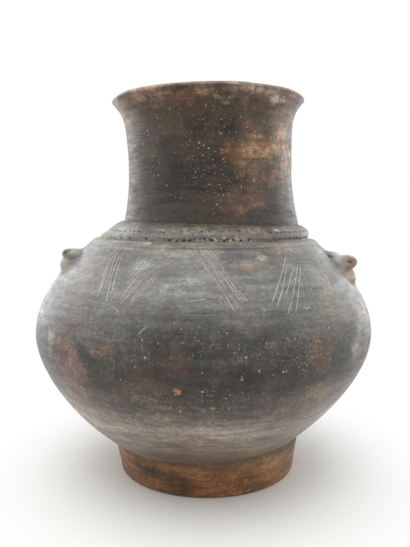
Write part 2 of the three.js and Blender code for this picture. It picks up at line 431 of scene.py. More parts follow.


# Colour of the clay by height, as it came out of a smoky open fire. The shoulder stops from 112 to
# 153 are partly painted reflection of the lamp above, and the lower bowl stops from 40 to 55 are
# partly painted reflection of the floor.
colouring = {
    "heights": [
        (0, "7a5432"), (18, "89613f"), (25, "614d38"), (30, "65503c"), (40, "706659"),
        (55, "94897c"), (68, "5c5248"), (84, "302a25"), (98, "38352f"), (112, "4f4f4c"),
        (140, "72726f"), (153, "5c5c59"), (158, "78756c"), (167, "585348"), (170.5, "282420"),
        (174, "28221c"), (200, "1e1813"), (232, "3c2e1e"), (243, "523f30"), (249.5, "6b5241"),
        (252.3, "9c8778"),
    ],
    "scrape": "bdb8a6", "chip": "a67d58", "sootAndShade": "1d1a16", "temper": "c9bb9a",
    "redTemper": "a88468", "rust": "6a4c34", "olive": "453b26",
    # Metres: top of the ramp, and heights at which the scrapes turn pale, the neck begins, the
    # shoulder begins and ends, and the calm foot of the bowl ends
    "rampTop": 0.26, "scrapesFrom": (0.1, 0.104), "neck": (0.17, 0.176),
    "shoulder": (0.1, 0.125, 0.172, 0.158), "bowl": (0.078, 0.056),
    # Scale and metres of the drift in height, scale and amount of the stirring, scale and thinnest
    # share of the patches, scale and darkness of the crackle
    "drift": (14, 0.005), "stir": (55, 0.03), "patches": (130, 0.35), "crackle": (620, 0.5),
    # Clouds: pixel in the photograph, width and height in pixels, colour, strength. Some are painted
    # sheen, highlights and shade, as marked below. All are spread a little, and those that reach less
    # far than stirredFrom in metres keep a plain edge.
    "spread": 1.15, "stirredFrom": 0.008,
    "clouds": [
        (205, 127, 26, 12, "120d0b", 0.9), (165, 172, 30, 32, "131315", 0.9),
        (204, 196, 26, 14, "17110f", 0.8), (262, 150, 26, 42, "876749", 0.85),
        (229, 152, 11, 8, "7a5030", 0.8), (255, 112, 17, 10, "5e5337", 0.7),
        (246, 203, 24, 14, "7c5a45", 0.75), (284, 150, 12, 48, "927a64", 0.85),
        (150, 143, 12, 14, "5a4e42", 0.6), (172, 110, 32, 8, "573f2a", 0.6),
        (185, 94, 36, 6, "6f4c38", 0.75), (292, 98, 18, 9, "b08f7b", 0.95),
        # These two are painted sheen along the left and right edges
        (45, 318, 7, 30, "77716c", 0.7), (364, 318, 7, 30, "77716c", 0.7),
        (76, 376, 14, 28, "8c7464", 0.6), (280, 99, 12, 6, "d2beae", 0.95),
        # The second on this line and the first on the next are painted sheen near the left and right
        # edges
        (205, 91, 30, 5, "977a60", 0.85), (50, 340, 8, 16, "918780", 0.75),
        (358, 340, 8, 16, "867d74", 0.7), (227, 85, 22, 5, "3b302d", 0.7),
        (228, 98, 14, 2, "2a211e", 0.75), (262, 104, 16, 2, "2a211e", 0.75),
        (162, 227, 12, 3, "98815c", 0.9), (203, 228.5, 7, 3, "80663f", 0.8),
        (185, 229, 5, 4, "6d6870", 0.7), (128, 231, 20, 9, "83847f", 0.85),
        (225, 234, 30, 3, "68676a", 0.6), (262, 228, 12, 3, "857b66", 0.7),
        (278, 230, 5, 2, "b9a898", 0.8), (272, 239.5, 18, 2, "6f563f", 0.8),
        (283, 245, 26, 4, "97866f", 0.8), (304, 234, 6, 8, "93816a", 0.75),
        # These two are painted shadow under the collar's ridge, with some soot
        (232, 251, 28, 3.5, "4b4a47", 0.75), (178, 250.5, 20, 2.5, "504f4d", 0.75),
        (148, 243, 5, 3, "aaa283", 0.75), (87, 267, 10, 9, "7f6c60", 0.65),
        (94, 267, 15, 12, "595956", 0.8), (250, 267, 10, 8, "94755a", 0.7),
        (272, 254, 34, 9, "6b6154", 0.6), (262, 258, 7, 4.5, "bcb0a8", 0.8),
        (330, 300, 24, 26, "8c7c6a", 0.6), (175, 322, 70, 14, "33302e", 0.65),
        (68, 372, 16, 50, "7e584d", 0.75), (104, 352, 16, 12, "65482f", 0.7),
        (322, 352, 18, 20, "6b4f37", 0.75), (318, 398, 30, 20, "776147", 0.7),
        (150, 398, 34, 18, "5e4a3c", 0.6), (180, 442, 60, 7, "6d4f40", 0.65),
        (146, 468, 22, 18, "2b261f", 0.88), (222, 482, 52, 12, "85502c", 0.8),
        (272, 466, 26, 16, "946b48", 0.75), (205, 451, 60, 4, "8f6c4b", 0.6),
        (178, 484, 26, 10, "33271c", 0.75), (205, 345, 90, 14, "1c1815", 0.8),
        # The second on this line and both on the next are painted highlights of the lamp above, on the
        # shoulder
        (215, 378, 80, 10, "151210", 0.8), (141, 264, 11, 8, "9a9b9b", 0.65),
        (164, 286, 15, 5, "9a9a9a", 0.75), (196, 285, 14, 4, "858583", 0.6),
        (215, 295, 18, 5, "45403c", 0.6), (353.5, 263, 11, 11, "a06c48", 1),
        (340, 254.5, 6, 4, "b89a8a", 0.9), (354.5, 276, 3, 4, "86685b", 0.85),
        (347, 265, 5, 6, "8a877b", 0.7), (76, 251, 8, 3, "8e8f89", 0.7), (66, 262, 6, 7, "7b7268", 0.7),
        # The first on this line is painted shade under the upper lobe of the left lug
        (64.5, 250.5, 7, 5, "262624", 1), (63.6, 258, 2.5, 2.5, "a5846a", 0.9),
    ],
    # Clouds that the photograph doesn't show: how many, and their colours
    "hidden": (18, ["17161a", "71553a", "74493d", "6b4f37", "2b261f", "857a6c", "80604a"]),
    # Mottling: scale, strength on the belly, on the shoulder and on the neck
    "mottling": [
        (26, 0.3, 0.18, 0.44), (95, 0.38, 0.18, 0.5), (420, 0.4, 0.2, 0.34), (1100, 0.32, 0.16, 0.24),
    ],
    # Burnishing streaks: scale, strength
    "streaks": [(34, 0.5), (120, 0.2)],
    # Grains: scale, smallest and largest radius in shares of a cell, strength. Share of the cells
    # that have one, where they are scarce and where they are common.
    "grains": [(230, 0.05, 0.15, 0.95), (480, 0.08, 0.22, 0.85), (820, 0.12, 0.3, 0.6)],
    "crowding": (0.05, 0.22),
    # Where grains of temper crowd: pixel, width and height in pixels, amount
    "grit": [
        (212, 158, 38, 60, 0.95), (255, 165, 30, 60, 0.6), (200, 347, 130, 26, 0.48),
        (300, 350, 34, 28, 0.9), (215, 115, 70, 18, 0.5), (120, 352, 30, 24, 0.6),
        (165, 235, 70, 5, 0.6), (200, 405, 80, 30, 0.5), (150, 150, 20, 50, 0.4),
    ],
}


def nearness(tree, place, centre, size, rim, core):
    away = vectorNode(tree, "DIVIDE", vectorNode(tree, "SUBTRACT", place, centre), size)
    return ranged(tree, vectorNode(tree, "LENGTH", away, output="Value"), rim, core)


def seenCloud(across, down, wide, tall):
    centre, _ = seenAt(wholePot, (across, down))
    size = (centre - camera.location).length / view["focal"] * colouring["spread"]
    return centre, Vector((wide, (wide + tall) / 2, tall)) * size


def clayColourAndPaintedLight():
    tree = bpy.data.node_groups.new("clayColourAndPaintedLight", "ShaderNodeTree")
    tree.interface.new_socket("Strokes", in_out="INPUT", socket_type="NodeSocketFloat")
    for name, kind in (("Color", "Color"), ("Temper", "Float"), ("Cracks", "Float")):
        tree.interface.new_socket(name, in_out="OUTPUT", socket_type="NodeSocket" + kind)
    strokes = tree.nodes.new("NodeGroupInput").outputs["Strokes"]
    place = addNode(tree, "TexCoord").outputs["Object"]
    height = addNode(tree, "SeparateXYZ", {0: place}).outputs["Z"]
    scale, drift = colouring["drift"]
    wavy = ranged(tree, noiseNode(tree, place, scale, 2), 0.2, 0.8, -drift, drift)
    wavy = mathNode(tree, "DIVIDE", mathNode(tree, "ADD", height, wavy), colouring["rampTop"])
    ramp = addNode(tree, "ValToRGB", {0: wavy})
    for i, (level, colour) in enumerate(colouring["heights"]):
        stop = ramp.color_ramp.elements[i] if i < 2 else ramp.color_ramp.elements.new(1)
        stop.position = level * millimetre / colouring["rampTop"]
        stop.color = screenColour(colour)
    colour = ramp.outputs["Color"]

    # Places are stirred by noise, so that the clouds get uneven edges
    scale, amount = colouring["stir"]
    stir = addNode(tree, "TexNoise", {"Vector": place, "Scale": scale, "Detail": 4}).outputs["Color"]
    stir = vectorNode(tree, "MULTIPLY", vectorNode(tree, "SUBTRACT", stir, [0.5] * 3), [amount] * 3)
    stirred = vectorNode(tree, "ADD", place, stir)
    scale, thinnest = colouring["patches"]
    patchy = ranged(tree, noiseNode(tree, place, scale, 4, 0.65), 0.3, 0.6, thinnest, 1)
    clouds = [(*seenCloud(*cloud[:4]), *cloud[4:]) for cloud in colouring["clouds"]]
    count, shades = colouring["hidden"]
    for i in range(count):
        angle = 70 + 220 * (i + 0.5) / count
        centre, _ = placedAt(wholePot, angle, dice.uniform(30, 240))
        clouds.append((centre, Vector((1, 1, dice.uniform(0.4, 1.2))) * dice.uniform(0.008, 0.022),
                       dice.choice(shades), dice.uniform(0.5, 0.8)))
    for centre, size, shade, strength in clouds:
        at = stirred if max(size) > colouring["stirredFrom"] else place
        share = times(tree, nearness(tree, at, centre, size, 1.15, 0.35), patchy)
        colour = mixColours(tree, times(tree, share, strength), colour, shade)

    # Mottling in three sizes, rusty patches, and streaks left by the burnishing pebble
    squashed = vectorNode(tree, "MULTIPLY", place, (1, 1, 9))
    calm = ranged(tree, height, *colouring["shoulder"][:2])
    calm = times(tree, calm, ranged(tree, height, *colouring["shoulder"][2:]))
    calm = mathNode(tree, "MAXIMUM", calm, ranged(tree, height, *colouring["bowl"]))
    for scale, most, least, onNeck in colouring["mottling"]:
        value = ranged(tree, noiseNode(tree, place, scale, 4, 0.6), 0.32, 0.68, -1, 1)
        value = times(tree, value, ranged(tree, calm, 0, 1, most, least))
        value = times(tree, value, ranged(tree, height, *colouring["neck"], 1, onNeck / most))
        value = mathNode(tree, "ADD", value, 1)
        colour = mixColours(tree, 1, colour, value, "MULTIPLY")
    for scale, most in colouring["streaks"]:
        value = ranged(tree, noiseNode(tree, squashed, scale, 4, 0.6), 0.3, 0.7, -most, most)
        value = mathNode(tree, "ADD", times(tree, value, strokes), 1)
        colour = mixColours(tree, 1, colour, value, "MULTIPLY")
    olive = ranged(tree, noiseNode(tree, squashed, 15, 5, 0.7), 0.4, 0.62, 0, 0.55)
    olive = times(tree, ranged(tree, height, 0.168, 0.174), olive)
    colour = mixColours(tree, olive, colour, colouring["olive"])
    rusty = ranged(tree, noiseNode(tree, place, 38, 5, 0.65), 0.48, 0.7, 0, 0.3)
    colour = mixColours(tree, rusty, colour, colouring["rust"])

    # Fine crackle, only in places
    scale, amount = colouring["crackle"]
    cells = addNode(tree, "TexVoronoi", {
        "Vector": vectorNode(tree, "MULTIPLY", place, (1, 1, 0.6)), "Scale": scale,
    }, feature="DISTANCE_TO_EDGE").outputs["Distance"]
    cracks = ranged(tree, cells, 0.1, 0.02)
    cracks = times(tree, cracks, ranged(tree, noiseNode(tree, place, 48, 2), 0.42, 0.6))
    colour = mixColours(tree, times(tree, cracks, amount), colour, colouring["sootAndShade"])

    # Grains of temper, crowded in places
    crowd = ranged(tree, noiseNode(tree, place, 30, 2), 0.4, 0.66, *colouring["crowding"])
    for *cloud, amount in colouring["grit"]:
        share = times(tree, nearness(tree, place, *seenCloud(*cloud), 1, 0.3), amount)
        crowd = mathNode(tree, "MAXIMUM", crowd, share)
    temper = 0
    ragged = addNode(tree, "TexNoise", {"Vector": place, "Scale": 900, "Detail": 1}).outputs["Color"]
    ragged = vectorNode(tree, "ADD", place, vectorNode(tree, "MULTIPLY", ragged, [0.0016] * 3))
    faint = ranged(tree, noiseNode(tree, place, 330, 1), 0.38, 0.62, 0.5, 1)
    for scale, least, most, strong in colouring["grains"]:
        cells = addNode(tree, "TexVoronoi", {"Vector": ragged, "Scale": scale})
        chance = addNode(tree, "SeparateColor", {0: cells.outputs["Color"]})
        chosen = mathNode(tree, "LESS_THAN", chance.outputs["Red"], crowd)
        radius = ranged(tree, chance.outputs["Green"], 0, 1, least, most)
        grain = mathNode(tree, "SUBTRACT", cells.outputs["Distance"], radius)
        grain = times(tree, ranged(tree, grain, 0.035, -0.035), chosen)
        reddish = ranged(tree, chance.outputs["Blue"], 0.65, 0.8)
        shade = mixColours(tree, reddish, screenColour(colouring["temper"]), colouring["redTemper"])
        sooty = ranged(tree, chance.outputs["Blue"], 0.3, 0.28)
        shade = mixColours(tree, sooty, shade, colouring["sootAndShade"])
        colour = mixColours(tree, times(tree, grain, times(tree, faint, strong)), colour, shade)
        temper = mathNode(tree, "MAXIMUM", temper, grain)

    # Bare clay in scratches and chips, and painted sheen on the lugs; painted shade with some soot in
    # creases, punch marks and lug hollows
    bareAndSheen = addNode(tree, "Attribute", attribute_name="bareAndSheen").outputs["Fac"]
    dust = ranged(tree, noiseNode(tree, place, 260, 2), 0.3, 0.6, 0.5, 1)
    share = times(tree, ranged(tree, bareAndSheen, 0.05, 0.6, 0, 0.9), dust)
    upper = ranged(tree, height, *colouring["scrapesFrom"])
    pale = mixColours(tree, upper, screenColour(colouring["chip"]), colouring["scrape"])
    colour = mixColours(tree, share, colour, pale)
    # Painted shade with some soot, from the darkening of creases and dents
    grimeAndShade = addNode(tree, "Attribute", attribute_name="grimeAndShade").outputs["Fac"]
    colour = mixColours(tree, ranged(tree, grimeAndShade, 0, 1, 0, 0.85), colour, colouring["sootAndShade"])
    last = tree.nodes.new("NodeGroupOutput")
    for value, socket in zip((colour, temper, cracks), last.inputs):
        tree.links.new(value, socket)
    return tree


# One finish for each slot: roughness where polished and where dull, strength of the streaks,
# height of the bump, pale bloom at a glancing angle, strength of the shine, pale colour for wear and
# painted sheen
finishSettings = {
    "burnished_wall": (0.3, 0.5, 0.6, 0.2, 0.18, 0.48),
    "sooty_neck": (0.33, 0.55, 0.6, 0.27, 0.14, 0.36),
    "worn_lip": (0.35, 0.55, 0.9, 0.22, 0.12, 0.4),
    "lug_clay": (0.38, 0.58, 0.45, 0.24, 0.2, 0.46, "beb8ae"),
    "foot_clay": (0.5, 0.75, 0.7, 0.3, 0.08, 0.45),
}


def clayFinish(slot, polished, dull, strokes, bump, sheen, shine, wornAndSheen=None):
    material = bpy.data.materials.new(slot)
    tree = emptied(material)
    colourGroup = tree.nodes.new("ShaderNodeGroup")
    colourGroup.node_tree = clayAndPaintedLight
    colourGroup.inputs["Strokes"].default_value = strokes
    place = addNode(tree, "TexCoord").outputs["Object"]
    squashed = vectorNode(tree, "MULTIPLY", place, (1, 1, 6))
    wear = noiseNode(tree, squashed, 60, 4, 0.6)
    roughness = ranged(tree, wear, 0.3, 0.7, polished, dull)
    roughness = mathNode(tree, "ADD", roughness, times(tree, colourGroup.outputs["Temper"], 0.2))
    relief = 0
    for height, amount in (
        (noiseNode(tree, squashed, 50, 3, 0.5), 1.6), (noiseNode(tree, place, 90, 3, 0.5), 1.2),
        (noiseNode(tree, squashed, 190, 3, 0.5), 0.3 + strokes),
        (noiseNode(tree, place, 700, 4, 0.6), 0.5), (colourGroup.outputs["Temper"], -0.4),
        (colourGroup.outputs["Cracks"], -0.3),
    ):
        relief = mathNode(tree, "ADD", relief, times(tree, height, amount))
    colour = colourGroup.outputs["Color"]
    # Pale tint on the lugs: partly wear, partly painted sheen
    if wornAndSheen:
        bareAndSheen = addNode(tree, "Attribute", attribute_name="bareAndSheen").outputs["Fac"]
        colour = mixColours(tree, bareAndSheen, colour, wornAndSheen)
    relief = addNode(tree, "Bump", {"Height": relief, "Distance": bump * millimetre})
    shader = addNode(tree, "BsdfPrincipled", {
        "Base Color": colour, "Roughness": roughness,
        "Normal": relief.outputs["Normal"], "IOR": 1.5, "Specular IOR Level": shine,
        "Sheen Weight": sheen, "Sheen Roughness": 0.4})
    addNode(tree, "OutputMaterial", {"Surface": shader.outputs["BSDF"]})
    return material


solids = bmesh.new()
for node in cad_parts.values():
    solids.from_mesh(node.data)
wholePot = BVHTree.FromBMesh(solids)
solids.free()
clayAndPaintedLight = clayColourAndPaintedLight()
finishes = {slot: clayFinish(slot, *settings) for slot, settings in finishSettings.items()}
print("clay finishes mixed")

# Walls of the body. All rings have the same number of sides, so that the pieces meet.
body = {"sides": 256, "floorRows": 2, "bowlRows": 1.5, "shoulderRows": 1.3, "baseRun": 25}

lowerOuter = join(evenly(underLine, body["floorRows"]), evenly(bowlLine, body["bowlRows"]))
lowerInner = sunk(lowerOuter, (pot["floor"], pot["wall"]))
upperOuter = join(evenly(shoulderLine, body["shoulderRows"]), evenly(crownLine, body["shoulderRows"]))
upperInner = sunk(upperOuter, (pot["wall"], pot["wall"]))


def wallSection(outer, inner):
    # Every third ring will do on the inside
    return outer + inner[:0:-3] + [inner[0]]


split = body["baseRun"]
base = turned("base", wallSection(lowerOuter[:split + 1], lowerInner[:split + 1]), body["sides"])
finished("base", base, "foot_clay", ["base"])

chips = {
    # Pixel in the photograph, radius, depth, bareness
    "seen": [
        (178, 393, 2.1, 0.5, 0.9), (175, 391, 1.5, 0.4, 0.9), (242, 380, 1.2, 0.4, 0.8),
        (213, 409, 1.4, 0.4, 0.8), (195, 408, 2.2, 0.3, 0.2), (259, 371, 1.0, 0.4, 0.9),
        (287, 371, 1.0, 0.4, 0.8), (98, 364, 1.2, 0.4, 0.8), (277, 364, 1.4, 0.4, 0.35),
        (225, 333, 0.6, 0.3, 0.8), (180, 349, 0.6, 0.3, 0.9), (78, 338, 0.6, 0.3, 0.9),
        (221, 424, 0.6, 0.3, 0.8), (147, 453, 0.8, 0.3, 0.8), (185, 446, 0.7, 0.3, 0.8),
        (140, 404, 0.6, 0.3, 0.8), (163, 451, 0.8, 0.3, 0.7), (204, 343, 0.6, 0.3, 0.8),
        (120, 323.5, 0.7, 0.2, 0.9), (125, 325, 0.6, 0.2, 0.9), (202.4, 311.8, 0.9, 0.2, 0.6),
        (321, 352, 0.9, 0.3, 0.6), (118, 353, 0.7, 0.3, 0.7), (238, 333, 0.9, 0.3, 0.7),
    ],
    # Those that it doesn't show: how many, and their least and greatest radius, depth, bareness
    "hidden": (46, (0.4, 1.5), (0.2, 0.45), (0.2, 0.9)),
}


def chipMarks(tree, lowest, highest):
    marks = [(*seenAt(tree, chip[:2]), *chip[2:]) for chip in chips["seen"]]
    count, *ranges = chips["hidden"]
    for _ in range(count):
        spot = placedAt(tree, dice.uniform(80, 280), dice.uniform(lowest, highest))
        marks.append((*spot, *[dice.uniform(*limits) for limits in ranges]))
    return [mark for mark in marks if mark[0] and lowest < mark[0].z / millimetre < highest]


lowerWall = turned("lower_wall", wallSection(lowerOuter[split:], lowerInner[split:]), body["sides"])
dented(lowerWall, chipMarks(BVHTree.FromBMesh(lowerWall), 26, 95), (1.6, 1.3))
finished("lower_wall", lowerWall, "burnished_wall", ["lower_wall"])

# Shoulder: bundles of fine lines. Those that the photograph shows go by its pixels, the
# others go round the back as (angle of the top, angle of the foot, number of lines).
hatching = {
    "width": 0.72, "depth": 0.28, "top": 154, "foot": 113, "spacing": 2.3,
    # Behind the pot: unevenness of tops, feet and turns, arching and fanning of the feet, and the
    # wall's radius (at no height, lost per millimetre) and tilt
    "tops": (0, 4), "feet": (-3, 6), "turns": (-0.25, 0.25), "arch": 2, "fan": 0.15,
    "radius": (172, 0.55), "tilt": 30,
    "seen": [
        [[114.3, 249, 108.7, 260, 103.6, 274, 97.2, 297.5],
         [115.8, 249.5, 110.4, 261, 105.5, 274, 101, 288.5],
         [117.9, 250.9, 112.6, 263, 108.9, 276.2, 105, 288.5],
         [119.7, 254.5, 114.3, 267.5, 109.8, 283, 106.1, 302.5],
         [124.4, 251, 119.4, 262, 115.2, 277, 111.2, 292.8]],
        [[153.3, 257.8, 142.5, 267.5, 134.5, 275.5, 130.4, 281.6],
         [153.6, 261.2, 142.8, 271.5, 133, 281.5, 119, 300.7],
         [164.5, 255.3, 150.8, 266.8, 138, 281.6, 119.7, 304.3],
         [176, 251.7, 160, 265, 144, 278, 122.6, 302.9], [178.2, 254.9, 173.5, 259.2, 168.1, 262.8],
         [157.3, 274.7, 148, 281.5, 139, 290, 129.8, 302.2],
         [154.4, 278.9, 146, 286.8, 137.5, 295.3, 131.6, 303]],
        [[188.4, 248.6, 193.6, 255.2, 199.5, 261.3, 206.8, 269.8],
         [193.6, 250.1, 198.8, 256.6, 203.8, 263.3, 209, 271.5],
         [198.5, 248.3, 206.8, 256.5, 214.3, 264.8, 224.5, 277.5, 233.8, 291.3, 240.5, 301.1],
         [200.4, 252.8, 208.3, 261, 213.5, 267.8, 220.3, 279, 228.1, 291.8, 238.6, 306.8],
         [203, 248.6, 211.3, 256.5, 218.8, 264.8, 226, 274, 237.6, 292.5, 243.9, 301.1],
         [205.6, 248.6, 212.8, 255.8, 219.5, 262.5, 224, 269.3], [208.3, 249, 215, 255.4, 224, 263.3],
         [214, 276.5, 219, 286, 225.9, 296.3, 235.3, 313.1], [238.5, 290, 243.1, 295.9, 247.6, 301.1]],
        [[285.7, 256.4, 283.2, 269.3, 278.6, 282.9, 272.1, 302.9],
         [287.7, 262.9, 285, 276, 282.4, 290, 277.1, 306.4],
         [294.6, 266.4, 290.4, 278.6, 288.2, 287.9, 285.6, 295], [297.9, 264.3, 296, 278, 293.2, 295.4],
         [300.7, 267.1, 299.6, 281.4, 298.2, 297, 295.7, 312.1],
         [292.1, 300, 290.7, 305.7, 288.2, 313.6]],
        [[304.3, 260.7, 309.3, 266.4, 315.7, 275, 326.4, 287.1],
         [307.1, 259.3, 315, 268.6, 331.4, 287.1], [310.7, 260.7, 319.3, 269.3, 332.9, 285],
         [315, 262.9, 324.3, 272.1, 333.6, 282.9], [319.3, 262.9, 327.9, 272.1, 334.6, 280.7]],
        [[188.8, 300.8, 206, 298.9]],
        [[137.6, 334.8, 144.8, 327.6]],
        [[107.5, 309.4, 110.8, 310.6], [113, 307.2, 116.2, 309.3, 118.2, 310.9],
         [304.3, 306.8, 307, 309, 310.4, 306.4]],
    ],
    "hidden": [(76, 64, 5), (104, 117, 6), (146, 131, 6), (156, 169, 7), (199, 185, 6),
               (209, 222, 6), (256, 243, 6), (280, 291, 5)],
}


def smoothed(flat):
    line = pixels(flat)
    if len(line) < 4:
        return line
    ends = [Vector(point) for point in [line[0], *line, line[-1]]]
    longer = [ends[1]]
    for before, start, end, after in zip(ends, ends[1:], ends[2:], ends[3:]):
        longer += [(9 * (start + end) - before - after) / 16, end]
    return longer


def hatchBundles(tree):
    bundles = [
        [[seenAt(tree, pixel) for pixel in smoothed(line)] for line in bundle]
        for bundle in hatching["seen"]
    ]
    for top, foot, count in hatching["hidden"]:
        bundle = []
        for i in range(count):
            line = []
            high = hatching["top"] - dice.uniform(*hatching["tops"])
            low = hatching["foot"] + dice.uniform(*hatching["feet"])
            low += abs(i - count / 2) * hatching["arch"]
            for share in (0, 0.5, 1):
                height = high + (low - high) * share
                radius = hatching["radius"][0] - hatching["radius"][1] * height
                spread = hatching["spacing"] * (i - (count - 1) / 2) * (1 + hatching["fan"] * share)
                around = top + (foot - top) * share + math.degrees(spread / radius)
                around += dice.uniform(*hatching["turns"])
                line.append(placedAt(tree, around, height, hatching["tilt"]))
            bundle.append(line)
        bundles.append(bundle)
    return bundles


upperWall = turned("upper_wall", wallSection(upperOuter, upperInner), body["sides"])
upperTree = BVHTree.FromBMesh(upperWall)
scratched(upperWall, hatchBundles(upperTree), hatching["width"], hatching["depth"])
finished("upper_wall", upperWall, "burnished_wall", ["upper_wall"])

# Foot ring
footIn = pot["footRadius"] - pot["foot"]
edge = pot["footEdge"]
creaseAt = corner(*pot["crease"])
underneath = [point for point in lowerOuter if creaseAt.x - pot["foot"] < point.x <= creaseAt.x + 0.01
              and point.z <= creaseAt.z + 0.01]
flare = evenly([corner(pot["footRadius"], edge), creaseAt], body["shoulderRows"])
footSection = join(
    roundOff((pot["footRadius"] - edge, edge), (edge, edge), -math.pi / 2, 0, 6),
    flare, underneath[::-1],
) + roundOff((footIn + edge, edge), (edge, edge), -math.pi, -math.pi / 2, 6)
footRing = turned("foot_ring", footSection, body["sides"])
finished("foot_ring", footRing, "foot_clay", ["foot_ring"])

# Collar: rounded strip, punched groove and a low ridge
collar = {
    "rollWidth": 9.5, "rollFoot": 4.4, "rollFlatness": 1.3, "rollSteps": 20, "gap": 0.15,
    "grooveDepth": -0.1, "grooveHeight": 2.4, "ridgeAt": 2.9, "ridgeHeight": 2.2, "beadEdge": (77.9, 0.6),
    # On the left the groove is filled up: how much, at what height and over what height
    "filling": (2.6, 161, 1.9),
    "upperRow": [
        163.7, 232.4, 181.6, 231.3, 201.6, 231.3, 209.7, 231.1, 221.3, 230.5, 230, 230.3, 238.6, 230.9,
        287.5, 227.9,
    ],
    "lowerRow": [
        120.2, 235.5, 130, 238, 145.8, 238.7, 169.3, 240.4, 176.4, 241.1, 183.7, 240.8, 190, 240.8,
        204.4, 239.3, 211.5, 240.8, 218.2, 242.2, 224.5, 241.3, 227.8, 239.8, 233.5, 240.3, 241, 240.6,
        249, 240.2, 270.1, 242, 296.5, 238.4, 300.4, 239.4,
    ],
    "creamMarks": [
        174.8, 240.5, 197.1, 240.1, 198.2, 240.6, 203, 239.8, 206.6, 239, 214.1, 238.4, 215.2, 239.3,
        216.4, 240.3, 217.4, 241.1, 223.8, 237.9, 229.6, 240.9, 230.7, 240.2, 235.8, 238.3, 237.2,
        238.8, 238.6, 239.3, 243.4, 237.9, 244.6, 238.7, 246.2, 239.8, 250.5, 240.9, 146.5, 242, 148.4,
        242.4, 150, 243.6, 147.2, 244.4,
    ],
    # Punch marks: depth, and behind the pot their spacing and paleness (below nothing: painted shade and
    # soot)
    "depth": 0.8, "spacing": 4.4, "radius": 70, "fillings": (-1, -1, 0.5, 0.9),
    # Row, height, tilt of the wall, angles between which the photograph shows it, radius of a mark
    "rows": [("upperRow", 166.2, 20, (-38, 30), 0.62), ("lowerRow", 160.6, 15, (-46, 62), 0.8)],
}
seat = pot["mouth"][1]
breakRadius, breakHeight = pot["break"]
top = corner(pot["neckRoot"][0] + collar["gap"], pot["neckRoot"][1])
heel = corner(pot["neckFootRadius"] + collar["gap"], seat)
rollEdge = corner(top.x + collar["rollWidth"], seat + collar["rollFoot"])
ridge = corner(rollEdge.x + collar["ridgeAt"], seat + collar["ridgeHeight"])
bead = corner(collar["beadEdge"][0], breakHeight + collar["beadEdge"][1])
skirt = join(
    evenly([corner(breakRadius + 0.1, breakHeight), bead], 0.5),
    curve((bead.x, bead.z), (ridge.x, ridge.z), (0.25, 0.4), (0.5, 0.1), 10),
)
grooveFoot = corner(rollEdge.x + 0.8, seat + collar["grooveHeight"])
deep = corner(rollEdge.x - collar["grooveDepth"], seat + collar["grooveHeight"] + 0.9)
corners = (ridge, grooveFoot, deep, rollEdge)
groove = join(*[evenly(pair, 0.5) for pair in zip(corners, corners[1:])])
roll = []
for i in range(collar["rollSteps"] + 1):
    turn = math.pi / 2 * i / collar["rollSteps"]
    out, up = math.cos(turn) ** collar["rollFlatness"], math.sin(turn) ** collar["rollFlatness"]
    roll.append(corner(top.x + collar["rollWidth"] * out, rollEdge.z + (top.z - rollEdge.z) * up))
crown = [point for point in upperOuter if point.z >= breakHeight and point.x > heel.x]


def collarFilled(point):
    around = Vector((point.x, point.y, 0))
    amount, height, reach = collar["filling"]
    if point.z < seat + 0.8 or around.length < heel.x + 1:
        return point
    share = eased(-0.1, -0.8, around.normalized().x) * math.exp(-((point.z - height) / reach) ** 2)
    return point + around.normalized() * amount * share


section = join(skirt, groove, roll) + [heel] + crown[::-1][:-1]
collarBand = turned("collar_band", section, body["sides"], collarFilled)
collarTree = BVHTree.FromBMesh(collarBand)
punches = []
for row, height, tilt, shown, wide in collar["rows"]:
    spots = [seenAt(collarTree, pixel) for pixel in pixels(collar[row])]
    seen = len(spots)
    step = math.degrees(collar["spacing"] / collar["radius"])
    count = int(360 / step)
    for i in range(count):
        angle = (i * step + 180) % 360 - 180
        if not shown[0] < angle < shown[1]:
            angle += dice.uniform(-1, 1)
            spots.append(placedAt(collarTree, angle, height + dice.uniform(-0.4, 0.4), tilt))
    for i, spot in enumerate(spots):
        filled = -1 if i < seen or row == "upperRow" else dice.choice(collar["fillings"])
        punches.append((*spot, wide * dice.uniform(0.85, 1.15), collar["depth"], filled))
for pixel in pixels(collar["creamMarks"]):
    punches.append((*seenAt(collarTree, pixel), dice.uniform(0.5, 0.7), 0.15, 1))
dented(collarBand, [punch for punch in punches if punch[0]], (2.2, 1.6))
finished("collar_band", collarBand, "burnished_wall", ["collar_band"])

# Neck and lip
neckFoot = evenly([corner(pot["neckFootRadius"], seat), corner(*pot["neckRoot"])], 2.5)
neckOuter = join(
    neckFoot, evenly(lowerNeckLine, body["shoulderRows"]), evenly(upperNeckLine, body["shoulderRows"]))
neckInner = sunk(neckOuter, (pot["wall"], pot["wall"]))
neckInner[0] = corner(*pot["mouth"])
neckBack = [neckInner[0]] + neckInner[len(neckFoot):]
neck = turned("neck", wallSection(neckOuter, neckBack), body["sides"])
finished("neck", neck, "sooty_neck", ["neck"])

rimRadius, rimHeight = pot["rim"]
rimIn = (rimRadius - pot["rimThickness"], rimHeight)
throat = curve(rimIn, (neckInner[-1].x, neckInner[-1].z), (0.05, 0.3), (0.3, 0.5), 10)
rim = roundOff(
    (rimRadius - pot["rimThickness"] / 2, rimHeight), (pot["rimThickness"] / 2, pot["rimCrown"]),
    0, math.pi, 16,
)
lip = turned("lip", join(lipLine, rim, throat), body["sides"])
finished("lip", lip, "worn_lip", ["lip"])

